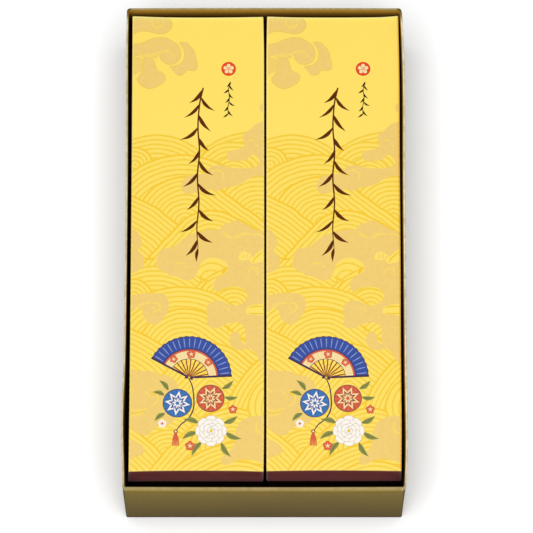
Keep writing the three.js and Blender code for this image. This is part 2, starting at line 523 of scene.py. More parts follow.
carton = {
    "leftEdge": {"left": 0.25, "right": 0.52},  # mm from the CAD box's side to the lid
    "farEdge": 0.3,
    "width": 82.5,  # mm, as the print is laid out
    "length": 292.3,
    "cornerRadius": 0.65,
    "leastRadius": 0.5,
    "foldRadius": 0.7,
    "foldSteps": 8,
    "foldAngle": 45,
    "foldInsets": [1, 0.55],  # rings under the top's edge, as shares of the fold's radius
    "crown": 0.35,  # mm by which the lid's middle stands up
    # mm by which the lid's ends, and each carton's long sides, are drawn in at their middle
    "endHollow": 0.45,
    "sideHollow": {"left": {"left": 0.28, "right": -0.16}, "right": {"left": -0.05, "right": -0.12}},
    "skirt": 25,
    "skirtBoard": 0.55,
    "skirtLip": (0.02, 0.12, 0.1),  # mm down from its top edge, mm in, how worn
    # share of its depth, how worn
    "skirtLevels": [
        (0.006, 0), (0.03, 0), (0.2, 0), (0.4, 0), (0.6, 0), (0.8, 0.03), (0.95, 0.15), (0.985, 0.5),
    ],
    "skirtFoot": [(0, 0.08, 0.8), (0, 0.47, 0.8), (0.3, 0.55, 0.3)],  # mm up, mm in, how worn
    "hem": 0.08,  # mm by which the skirt's inner edge reaches up under the fold
    "tuck": 0.2,  # and by which it lies further in than the board is thick
    "skirtFlare": 0.4,  # mm by which its lower edge splays at the sides
    "endFlare": 0.6,
    "cornerFlare": {  # of the skirt's lower corners, at the left and at the right
        "left": {"far": (0.3, 0.3), "near": (1.0, -0.6)},
        "right": {"far": (0.3, 0.3), "near": (-0.3, 0.6)},
    },
    "cornerReach": (5, 0.8),  # mm over which a corner splays, and over which its fold is worn
    "baseInset": 0.8,
    "baseLevels": [(-1.3, 0.5), (-1.8, 0.05), (-14, 0), (-28, 0), (-42, 0), (-56, 0)],  # mm up, mm further in
    "baseEdge": 0.6,
    "baseSteps": 3,
    "baseHollow": {"wall": 0.4, "foot": 0.2},
    "steps": {"corner": 8, "long": 44, "short": 16, "beside": 1},
    "grid": 8,  # mm between inner points of the lid, so that it follows its crown
    "gridClear": 0.4,
    # painted highlight on each fold; below 0 it is painted shade
    "foldShare": {  # how pale each fold is; below 0 it is darker than the top
        "left": {"far": 1.0, "near": 0.28, "left": 0.38, "right": 0.25},
        "right": {"far": 1.0, "near": 0.28, "left": 0.55, "right": -1.0},
    },
    # painted shade on a fold turned away from the light
    "foldShade": (0.86, 0.64, 0.38, 1),  # tint of a dark fold
    "foldPaintedLightTop": 0.7,  # share of it on the fold's upper edge
    "foldFade": 0.6,  # mm over which the pale fold runs out on the top
    "farLight": (0.985, 1.095, 1.12, 1),  # the lids' far ends catch more light
    "farReach": (4.5, 0.8),  # mm from the far edge, between which that comes in
    # where a lid's edges stray: place on the lid, how far it reaches and the push, in mm
    "bends": {
        "left": [
            ((0, 0), (14, 25), (0, -0.4)),
            ((82.5, 0), (8, 14), (-0.36, 0)),
            ((0, 292), (8, 20), (0, 0.15)),
            ((82.5, 292), (7, 14), (-0.2, 0.15)),
        ],
        "right": [
            ((0, 0), (8, 14), (0.37, -0.2)),
            ((82.5, 0), (6, 14), (0, -0.62)),
            ((82.5, 40), (8, 36), (0.38, 0)),
            ((82.5, 206), (8, 36), (-0.2, 0)),
            ((82.5, 130), (6, 150), (0.26, 0)),
            ((82.5, 292), (7, 14), (-0.28, -0.06)),
            ((41, 292), (90, 20), (0, -0.16)),
        ],
    },
    "maroon": {
        "specular": 0.2,
        "roughness": (0.44, 0.58),
        "relief": (0.25, 0.08 * mm),
        "fibre": (1600, 2),
        "fibreStretch": (1, 1, 0.3),
        "cloud": ((60, 3), (0.35, 0.7, 0.0, 0.7)),
        "scuff": ((420, 4, 0.65), (0.3, 0.62, 0.35, 1.0)),
        "tone": (0.41, 0.110, 0.112, 1),
        "dim": 0.8,
        "wearAndPaintedLight": (0.54, 0.40, 0.40, 1),
        # painted light: the skirt is brighter towards its lower edge, which lies deep in shade
        "low": (0.69, 0.205, 0.21, 1),  # towards the lower edge of the skirt
        "lowFrom": 12,  # mm under the top
    },
    "base": {
        "specular": 0.3,
        "roughness": 0.6,
        "relief": (0.25, 0.08 * mm),
        "fibre": (1200, 3),
        "mix": (0.3, 0.7),
        "tones": [(0.020, 0.009, 0.007, 1), (0.032, 0.014, 0.011, 1)],
    },
}


def packPlace(side):
    low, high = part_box(packNodes[side])
    left = low.x + carton["leftEdge"][side] * mm
    far = high.y + carton["farEdge"] * mm
    middle = Vector((left + carton["width"] / 2 * mm, far - carton["length"] / 2 * mm))
    return {"side": side, "left": left, "far": far, "top": high.z, "bottom": low.z, "middle": middle}


def onLid(place, point):
    # mm from the lid's far left corner, to the right and towards the near end
    return (point.x - place["left"]) / mm, (place["far"] - point.y) / mm


def hollowAt(side, edge, across):
    # how far the edge is drawn in; across runs from -1 to 1 along it
    depth = carton["endHollow"] if edge in ("far", "near") else carton["sideHollow"][side][edge]
    return depth * (1 - across ** 2)


def flatBounds(side, u, v, inset):
    # the least and greatest u and v at this place that lie inset mm inside the lid's edges
    across, along = 2 * u / carton["width"] - 1, 2 * v / carton["length"] - 1
    low = Vector((hollowAt(side, "left", along) + inset, hollowAt(side, "far", across) + inset))
    right = carton["width"] - hollowAt(side, "right", along) - inset
    near = carton["length"] - hollowAt(side, "near", across) - inset
    return low, Vector((right, near))


def edgeDistance(side, u, v):
    # mm from the nearest edge of the lid, with the corners rounded
    low, high = flatBounds(side, u, v, 0)
    sideways, lengthways = min(u - low.x, high.x - u), min(v - low.y, high.y - v)
    radius = carton["cornerRadius"]
    if sideways < radius and lengthways < radius:
        return radius - math.hypot(radius - sideways, radius - lengthways)
    return min(sideways, lengthways)


def lidHeight(side, u, v):
    # mm above the lid's nominal top
    across, along = 2 * u / carton["width"] - 1, 2 * v / carton["length"] - 1
    crown = carton["crown"] * max(0, 1 - across ** 2) * max(0, 1 - along ** 4)
    radius = carton["foldRadius"]
    inside = min(max(edgeDistance(side, u, v), 0), radius)
    return crown + math.sqrt(max(0, radius ** 2 - (radius - inside) ** 2)) - radius


def lidRing(place, height, inset, spread=0.0, hollowShare=1.0, endSpread=0.0):
    # a ring of the lid: height in mm from the top, and how far it lies inside or spreads out, in mm
    half, halfLong = carton["width"] / 2, carton["length"] / 2

    def push(edge, spot):
        across = spot.y / halfLong if edge in ("left", "right") else spot.x / half
        return -hollowAt(place["side"], edge, across) * hollowShare

    radius = max(carton["cornerRadius"] - inset + spread, carton["leastRadius"])
    flat = roundedOutline(half - inset + spread, halfLong - inset + endSpread, radius, carton["steps"], push)
    middle = place["middle"]
    points = [Vector((middle.x + p.x * mm, middle.y + p.y * mm, place["top"] + height * mm)) for p in flat]
    return {"points": points, "skin": 0, "wearAndPaintedLight": 0.0}


def foldShare(place, point):
    # how much painted highlight, and below 0 painted shade, the fold gets at a point of the lid's edge
    shares, middle = carton["foldShare"][place["side"]], place["middle"]
    across, along = (point.x - middle.x) / mm, (point.y - middle.y) / mm
    if carton["length"] / 2 - abs(along) < carton["width"] / 2 - abs(across):
        return shares["far" if along > 0 else "near"]
    return shares["right" if across > 0 else "left"]


def bend(place, points):
    for point in points:
        u, v = onLid(place, point)
        for spot, spread, push in carton["bends"][place["side"]]:
            share = hump(u, spot[0], spread[0]) * hump(v, spot[1], spread[1])
            point.x += push[0] * share * mm
            point.y -= push[1] * share * mm


lightOnTop = 1.2  # how bright a level white sheet looks, so printed colours can be given as they appear
sheenOnTop = 0.022  # what the varnish adds to that
leastTone = 0.002


def paint(red, green, blue, sheen=sheenOnTop):
    # a colour as it looks on screen under the studio light, turned into the paint's own tone
    linear = Color((red / 255, green / 255, blue / 255)).from_srgb_to_scene_linear()
    return (*[max(tone - sheen, leastTone) / lightOnTop for tone in linear], 1)


varnish = {
    "specular": 0.14,
    "roughness": (0.40, 0.52),
    "relief": (0.12, 0.05 * mm),
    "fibre": (1800, 2),
    # noise and colour of the painted highlight on the lids' folds
    "foldHighlightMottle": ((300, 3), (0.25, 0.7, 0.5, 1.0)),  # of the ink on the folds
    "foldHighlight": paint(255, 251, 186),
    "blotch": ((420, 3), (0.35, 0.75, 0.0, 0.6)),
    "dim": 0.93,  # of the blotches
}
deepVarnish = {**varnish, "specular": 0.03, "sheen": 0.006}
inks = {
    "yellow": paint(254, 224, 107),
    "plainYellow": paint(254, 224, 107),
    "line": paint(240, 201, 64),
    "gold": paint(245, 200, 59),
    "tan": paint(241, 206, 118),
    "tanRim": paint(239, 205, 104),
    "paleTan": paint(243, 210, 111),
    "paleYellow": paint(248, 215, 107),
}
deepInks = {
    "brown": (92, 48, 20),
    "black": (56, 38, 20),
    "red": (226, 76, 42),
    "coral": (216, 100, 72),
    "rust": (150, 68, 46),
    "cobalt": (64, 84, 158),
    "sky": (70, 118, 178),
    "mist": (140, 158, 206),
    "plum": (74, 54, 80),
    "cream": (246, 222, 166),
    "white": (250, 244, 232),
    "shade": (206, 190, 176),
    "moss": (142, 146, 82),
    "leafDark": (96, 100, 48),
}


# Fans of wave lines, in mm on the lid: the centre's place across and along, the reach, how golden the rim
# is, and where needed a spacing, or how far off the rim's straight end lies. Later fans cover earlier ones.
waves = {
    # groups of fans and how many mm each is moved towards the near end
    "order": [("first", 0), ("firstCrest", 0), ("first", 85), ("secondCrest", 0), ("nearEnd", 0)],
    "spacing": 2.95,
    "lineEdge": (0.15, 0.95),  # mm from the middle of a line, between which its ink runs out
    "rimEdge": (0.25, 1.05),
    "firstLine": (0.4, 0.6),  # turns from the rim, which is itself the first line
    "fanEdge": (-0.75, -0.35),  # mm inside the rim, between which a fan comes to cover earlier ones
    "waver": 1.6,  # mm by which a hand-drawn line strays
    "waverNoise": {"Scale": 0.11, "Detail": 2.0},
    "tint": 0.1,  # share of the line's ink between the lines
    "pressure": ((0.35, 3), (0.25, 0.75, 0.72, 1.0)),  # of the brush
    "first": [
        (15.5, 118, 40, 0.1),
        (78, 130, 54.1, 0.15),
        (63, 108, 25.3, 0.0),
        (64, 105, 13, 0.0, {"spacing": 2.7}),
        (2.5, 97, 10.9, 0.8, {"spacing": 2.7}),
        (31.5, 141, 50, 0.7, {"spacing": 3.1}),
        (79, 131.5, 26.5, 0.3),
        (34, 135.5, 30.6, 1.0, {"rightEnd": (47.5, 36.6)}),
        (-30, 194, 82.6, 1.0),
    ],
    "firstCrest": [
        (50, 153.7, 26.7, 1.0, {"leftEnd": (-26.4, 30), "rightEnd": (51.6, 30.6)}),
        (50, 172, 15.6, 0.0, {"spacing": 4.4}),
    ],
    "secondCrest": [(50, 238.7, 26.7, 1.0, {"leftEnd": (-26.4, 30), "rightEnd": (46.8, 37.2)})],
    "nearEnd": [
        (15.5, 288, 40, 0.3),
        (24, 283, 16.6, 0.1, {"spacing": 2.7}),
        (-68, 363, 120, 1.0),
        (134.9, 379.2, 150, 1.0),
        (118, 268, 60, 1.0),
        (63, 278, 25.3, 1.0),
        (92, 252, 18.9, 0.6, {"spacing": 3.9}),
        (75, 345, 72, 1.0),
        (66, 320, 34, 0.8),
    ],
}


def allFans():
    # what each fan's group of nodes is fed
    fans = []
    for group, shift in waves["order"]:
        for u, v, reach, gold, *more in waves[group]:
            fan = {"reach": reach, "gold": gold, "spacing": waves["spacing"]}
            fan |= {"centre": (0, 0), "leftEnd": (0, 0), "rightEnd": (0, 0)}
            fan |= more[0] if more else {}
            for end in ("centre", "leftEnd", "rightEnd"):
                fan[end] = (u + fan[end][0], v + shift + fan[end][1], 0)
            fans.append(fan)
    return fans


def reachTo(place, start, end):
    # distance from place to the straight piece between start and end
    toPlace = doVector("SUBTRACT", place, start)
    span = doVector("SUBTRACT", end, start)
    ahead = doVector("DOT_PRODUCT", toPlace, span, "Value")
    whole = doVector("DOT_PRODUCT", span, span, "Value")
    share = doMath("DIVIDE", ahead, whole, clamp=True)
    scaled = follow("VectorMath", {0: span, "Scale": share}, "Vector", operation="SCALE")
    return doVector("DISTANCE", toPlace, scaled, "Value")


def buildWaveGroup():
    # marks carries two shares: line in x and gold rim in y
    group = bpy.data.node_groups.new("waveFan", "ShaderNodeTree")
    kinds = dict.fromkeys(("marks", "place", "centre", "leftEnd", "rightEnd"), "Vector")
    kinds |= dict.fromkeys(("reach", "spacing", "gold"), "Float")
    for name, kind in kinds.items():
        group.interface.new_socket(name, in_out="INPUT", socket_type="NodeSocket" + kind)
    group.interface.new_socket("marks", in_out="OUTPUT", socket_type="NodeSocketVector")
    given = group.nodes.new("NodeGroupInput").outputs
    leftReach = reachTo(given["place"], given["centre"], given["leftEnd"])
    rightReach = reachTo(given["place"], given["centre"], given["rightEnd"])
    depth = doMath("SUBTRACT", given["reach"], doMath("MINIMUM", leftReach, rightReach))
    turns = doMath("DIVIDE", depth, given["spacing"])
    offLine = times(doMath("PINGPONG", turns, 0.5), given["spacing"])
    line = fade(offLine, *waves["lineEdge"], 1.0, 0.0)
    line = times(line, fade(turns, *waves["firstLine"]))
    rim = fade(doMath("ABSOLUTE", depth), *waves["rimEdge"], 1.0, 0.0)
    plain = doMath("MAXIMUM", doMath("MAXIMUM", line, rim), waves["tint"])
    golden = times(rim, given["gold"])
    marks = follow("CombineXYZ", {"X": plain, "Y": golden}, 0)
    inside = fade(depth, *waves["fanEdge"])
    mix = follow("Mix", {0: inside, 4: given["marks"], 5: marks}, 1, data_type="VECTOR")
    feed(group.nodes.new("NodeGroupOutput").inputs["marks"], mix)
    return group


waveGroup = buildWaveGroup()


def dimmed(tone, share):
    return (*[part * share for part in tone[:3]], 1)


def finishPrint(shader, finish, spot, colour):
    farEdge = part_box(packNodes["left"])[1].y
    start, end = (farEdge - reach * mm for reach in carton["farReach"])
    far = fade(axes(spot)["Y"], start, end)
    colour = blendColours(far, colour, carton["farLight"], "MULTIPLY")
    wearAndPaintedLight = wearAndPaintedLightAt(spot)
    # painted shade on a fold that turns away from the light, as on the right lid's right edge
    shaded = fade(wearAndPaintedLight, 0, -1)
    colour = blendColours(shaded, colour, carton["foldShade"], "MULTIPLY")
    # painted highlight on the fold, broken up like cracked ink, and the board's grain under the varnish
    foldHighlight = times(wearAndPaintedLight, mottle(spot, finish["foldHighlightMottle"]))
    colour = blendColours(foldHighlight, colour, finish["foldHighlight"])
    coat(shader, finish, colour, grain(spot, *finish["fibre"]))


def buildPrintGround(place):
    material, shader, spot = newMaterial("wavePrint_" + place["side"], varnish)
    corner = (place["left"], place["far"], 0)
    lidSpot = doVector("MULTIPLY", doVector("SUBTRACT", spot, corner), (1 / mm, -1 / mm, 0))
    noise = follow("TexNoise", {"Vector": lidSpot, **waves["waverNoise"]}, "Color")
    stray = doVector("SUBTRACT", noise, (0.5, 0.5, 0.5))
    stray = doVector("MULTIPLY", stray, (waves["waver"], waves["waver"], 0))
    drawn = doVector("ADD", lidSpot, stray)
    marks = (0.0, 0.0, 0.0)
    for fan in allFans():
        node = spot.id_data.nodes.new("ShaderNodeGroup")
        node.node_tree = waveGroup
        for name, value in {**fan, "marks": marks, "place": drawn}.items():
            feed(node.inputs[name], value)
        marks = node.outputs["marks"]
    shares = axes(marks)
    line = times(shares["X"], mottle(lidSpot, waves["pressure"]))
    colour = blendColours(line, inks["yellow"], inks["line"])
    colour = blendColours(shares["Y"], colour, inks["gold"])
    finishPrint(shader, varnish, spot, colour)
    return material


def buildInk(name, tone, finish):
    # one colour of printing ink, a little uneven
    material, shader, spot = newMaterial("ink_" + name, finish)
    colour = blendColours(mottle(spot, finish["blotch"]), tone, dimmed(tone, finish["dim"]))
    finishPrint(shader, finish, spot, colour)
    return material


def buildMaroon():
    maroon = carton["maroon"]
    material, shader, spot = newMaterial("maroonBoard", maroon)
    cloud = mottle(spot, maroon["cloud"])
    colour = blendColours(cloud, maroon["tone"], dimmed(maroon["tone"], maroon["dim"]))
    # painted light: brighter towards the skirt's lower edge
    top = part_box(packNodes["left"])[1].z
    start, end = top - maroon["lowFrom"] * mm, top - carton["skirt"] * mm
    low = fade(axes(spot)["Z"], start, end, shape="LINEAR")
    colour = blendColours(low, colour, maroon["low"])
    scuffed = times(wearAndPaintedLightAt(spot), mottle(spot, maroon["scuff"]))
    colour = blendColours(scuffed, colour, maroon["wearAndPaintedLight"])
    fibre = grain(doVector("MULTIPLY", spot, maroon["fibreStretch"]), *maroon["fibre"])
    coat(shader, maroon, colour, fibre)
    return material


def insideOutline(outline, spots):
    # which of the spots the outline winds round
    ends = np.array(outline)
    starts = np.roll(ends, 1, axis=0)
    rise = ends[:, 1] - starts[:, 1]
    lean = (ends[:, 0] - starts[:, 0]) / np.where(rise == 0, 1, rise)
    u, v = spots[:, 0:1], spots[:, 1:2]
    straddles = (starts[:, 1] > v) != (ends[:, 1] > v)
    beside = u < starts[:, 0] + (v - starts[:, 1]) * lean
    return (straddles & beside) @ np.sign(rise) != 0


printEdge = {"corner": 0.5, "margin": 0.02, "shortest": 0.03}  # mm


def trimmed(side, outline):
    # keeps a printed outline on the flat of the lid, inside its fold and rounded corners
    corner, shortest = printEdge["corner"], printEdge["shortest"]
    kept = []
    for u, v in outline:
        low, high = flatBounds(side, u, v, carton["foldRadius"] + printEdge["margin"] + corner)
        core = Vector((min(max(u, low.x), high.x), min(max(v, low.y), high.y)))
        away = Vector((u, v)) - core
        # squarely out over a side, or round the corner
        away.x, away.y = min(max(away.x, -corner), corner), min(max(away.y, -corner), corner)
        if away.length > corner:
            away *= corner / away.length
        spot = core + away
        if not kept or (spot - kept[-1]).length > shortest:
            kept.append(spot)
    while len(kept) > 1 and (kept[0] - kept[-1]).length < shortest:
        kept.pop()
    return [tuple(spot) for spot in kept]


def cutPanel(rims, shapes):
    # Cuts the lid's top along every printed shape. A triangle takes the ink of the last shape that covers
    # it. Gives the points, the triangles, their inks, and which points came from the outer rim.
    spots, lines = [], []
    for outline in rims + [outline for outline, _ in shapes]:
        start, count = len(spots), len(outline)
        spots += [Vector((u, -v)) for u, v in outline]
        lines += [(start + index, start + (index + 1) % count) for index in range(count)]
    taken = KDTree(len(spots))
    for index, spot in enumerate(spots):
        taken.insert((*spot, 0), index)
    taken.balance()
    grid = carton["grid"]
    for column in range(1, int(carton["width"] / grid) + 1):
        for row in range(1, int(carton["length"] / grid) + 1):
            spot = Vector((column * grid, -row * grid))
            if taken.find((*spot, 0))[2] > carton["gridClear"]:
                spots.append(spot)
    rimLoop = list(range(len(rims[0])))
    points, _, faces, origins, _, _ = delaunay_2d_cdt(spots, lines, [rimLoop], 1, 0.0001)
    triangles = []
    for face in faces:
        a, b, c = (points[corner] for corner in face)
        area = (b - a).cross(c - a)
        if abs(area) > 1e-9:
            triangles.append(list(face) if area > 0 else list(face)[::-1])
    spots = np.array([(point.x, -point.y) for point in points])
    middles = spots[np.array(triangles)].mean(axis=1)
    skins = np.full(len(triangles), "yellow", dtype=object)
    for outline, ink in shapes:
        low, high = np.min(outline, axis=0), np.max(outline, axis=0)
        close = np.flatnonzero(((middles > low) & (middles < high)).all(axis=1))
        skins[close[insideOutline(outline, middles[close])]] = ink
    rimOf = {index: old for index, olds in enumerate(origins) for old in olds if old < len(rims[0])}
    return spots, triangles, list(skins), rimOf


def buildLid(place, groundInk, shapes):
    # the fold is a stack of rings; the top inside it is cut along the print
    side, radius, steps, paintedLightTop = place["side"], carton["foldRadius"], carton["foldSteps"], carton["foldPaintedLightTop"]
    rings = [lidRing(place, -radius, radius * share) for share in carton["foldInsets"]]
    for index in range(steps + 1):
        angle = math.pi / 2 * index / steps
        ring = lidRing(place, radius * (math.sin(angle) - 1), radius * (1 - math.cos(angle)))
        # painted highlight on the fold, strongest at its upper edge
        share = math.sin(angle) * (1 - (1 - paintedLightTop) * math.sin(angle))
        ring["shares"] = [share * foldShare(place, point) for point in ring["points"]]
        rings.append(ring)
    points, wearAndPaintedLight, faces, skins, count = joinRings(rings)
    faces.append(list(range(count)))
    rounded, start = len(faces), len(points) - count
    rims = [rings[-1]["points"], lidRing(place, 0, radius + carton["foldFade"])["points"]]
    spots, triangles, inkNames, rimOf = cutPanel([[onLid(place, p) for p in rim] for rim in rims], shapes)
    number = {index: start + old for index, old in rimOf.items()}
    for triangle in triangles:
        for corner in triangle:
            if corner not in number:
                u, v = spots[corner]
                height = place["top"] + lidHeight(side, u, v) * mm
                beyond = max(edgeDistance(side, u, v) - radius, 0) / carton["foldFade"]
                number[corner] = len(points)
                points.append(Vector((place["left"] + u * mm, place["far"] - v * mm, height)))
                wearAndPaintedLight.append(paintedLightTop * max(0, 1 - beyond) * foldShare(place, points[-1]))
        faces.append([number[corner] for corner in triangle])
    bend(place, points)
    names = ["yellow"] + sorted(set(inkNames) - {"yellow"})
    materials = [groundInk] + [printInks[name] for name in names[1:]]
    skins = [0] * rounded + [names.index(name) for name in inkNames]
    smooth = [True] * rounded + [False] * len(triangles)
    return addPiece("lidPanel_" + side, points, faces, materials, 180, skins, wearAndPaintedLight, smooth)


def skirtRing(place, height, inset, drop, wearAndPaintedLight=0.0):
    # drop runs from 0 at the top of the skirt to 1 at its lower edge
    ring = lidRing(place, height, inset, carton["skirtFlare"] * drop, 1 - drop, carton["endFlare"] * drop)
    # the corners of the skirt splay a little more than its sides, and their folds are worn
    middle, flares = place["middle"], carton["cornerFlare"][place["side"]]
    half, halfLong = carton["width"] / 2 * mm, carton["length"] / 2 * mm
    ring["shares"] = []
    for point in ring["points"]:
        sideways = min((abs(point.x - middle.x) - half) / mm, 0)
        lengthways = min((abs(point.y - middle.y) - halfLong) / mm, 0)
        reaches = carton["cornerReach"]
        near, fold = (hump(sideways, 0, reach) * hump(lengthways, 0, reach) for reach in reaches)
        leftFlare, rightFlare = flares["far" if point.y > middle.y else "near"]
        point.x += (rightFlare if point.x > middle.x else -leftFlare) * near * drop * mm
        ring["shares"].append(min(1, wearAndPaintedLight + fold))
    return ring


def buildSkirt(place, material):
    board, top, bottom = carton["skirtBoard"], -carton["foldRadius"], -carton["skirt"]
    down, inset, wearAndPaintedLight = carton["skirtLip"]
    rings = [skirtRing(place, top + carton["hem"], board + carton["tuck"], 0)]
    rings.append(skirtRing(place, top - down, inset, 0, wearAndPaintedLight))
    for level, wearAndPaintedLight in carton["skirtLevels"]:
        rings.append(skirtRing(place, top + (bottom - top) * level, 0, level, wearAndPaintedLight))
    for up, inset, wearAndPaintedLight in carton["skirtFoot"]:
        rings.append(skirtRing(place, bottom + up, inset, 1, wearAndPaintedLight))
    rings.append(skirtRing(place, bottom / 2, board, 0.5))
    points, wearAndPaintedLight, faces, skins, count = joinRings(rings)
    bend(place, points)
    last = len(points) - count
    for index in range(count):
        # closes the ring of board at its top, where the inside meets the outside again
        following = (index + 1) % count
        faces.append((last + index, index, following, last + following))
        skins.append(0)
    return addPiece("lidSkirt_" + place["side"], points, faces, [material], carton["foldAngle"], skins, wearAndPaintedLight)


def buildBase(place, material):
    inset, edge, steps = carton["baseInset"], carton["baseEdge"], carton["baseSteps"]
    foot = (place["bottom"] - place["top"]) / mm
    levels = [(up, extra, "wall") for up, extra in carton["baseLevels"]]
    for index in range(steps + 1):
        angle = math.pi / 2 * index / steps
        levels.append((foot + edge * (1 - math.sin(angle)), edge * (1 - math.cos(angle)), "foot"))
    hollow = carton["baseHollow"]
    rings = [lidRing(place, up, inset + extra, hollowShare=hollow[part]) for up, extra, part in levels]
    points, wearAndPaintedLight, faces, _, count = joinRings(rings)
    last = len(points) - count
    faces.append(list(range(count)))
    faces.append(list(range(last + count - 1, last - 1, -1)))
    name = "cartonBase_" + place["side"]
    return addPiece(name, points, faces, [material], carton["foldAngle"], wearAndPaintedLight=wearAndPaintedLight)


def slopeAt(before, point, after):
    # no steeper than the shorter neighbouring span, so long and short spans meet without a loop
    reach = min((point - before).length, (after - point).length)
    if reach == 0:
        return after - before
    return (after - before).normalized() * reach


def smoothLine(points, steps=5, closed=False):
    # an even curve through the points
    count = len(points)
    curve = []
    for span in range(count if closed else count - 1):
        picks = [span + shift for shift in (-1, 0, 1, 2)]
        picks = [index % count if closed else min(max(index, 0), count - 1) for index in picks]
        before, start, end, after = (Vector(points[index]) for index in picks)
        leave, arrive = slopeAt(before, start, end), slopeAt(start, end, after)
        for step in range(steps):
            t = step / steps
            spot = start * (2 * t ** 3 - 3 * t ** 2 + 1) + end * (3 * t ** 2 - 2 * t ** 3)
            curve.append(spot + leave * (t ** 3 - 2 * t ** 2 + t) + arrive * (t ** 3 - t ** 2))
    if not closed:
        curve.append(Vector(points[-1]))
    return curve


def patch(points, ink, steps=5):
    # a filled shape with a smooth outline; steps of 0 keeps the points as they are
    if steps:
        points = smoothLine(points, steps, closed=True)
    return [tuple(point) for point in points], ink


def aside(direction):
    return Vector((-direction.y, direction.x))


brushSwell = 0.6  # less makes brush lines reach their full width sooner


def stroke(points, width, ink, steps=5, ends=(0.35, 0.35)):
    # a brush line; ends says what share of its width its two ends keep
    curve = smoothLine(points, steps)
    last = len(curve) - 1
    left, right = [], []
    for index, point in enumerate(curve):
        direction = (curve[min(index + 1, last)] - curve[max(index - 1, 0)]).normalized()
        t = index / last
        swell = math.sin(math.pi * t) ** brushSwell if 0 < t < 1 else 0
        least = ends[0] + (ends[1] - ends[0]) * t
        shift = aside(direction) * (width / 2 * (least + (1 - least) * swell))
        left.append(tuple(point + shift))
        right.append(tuple(point - shift))
    return left + right[::-1], ink


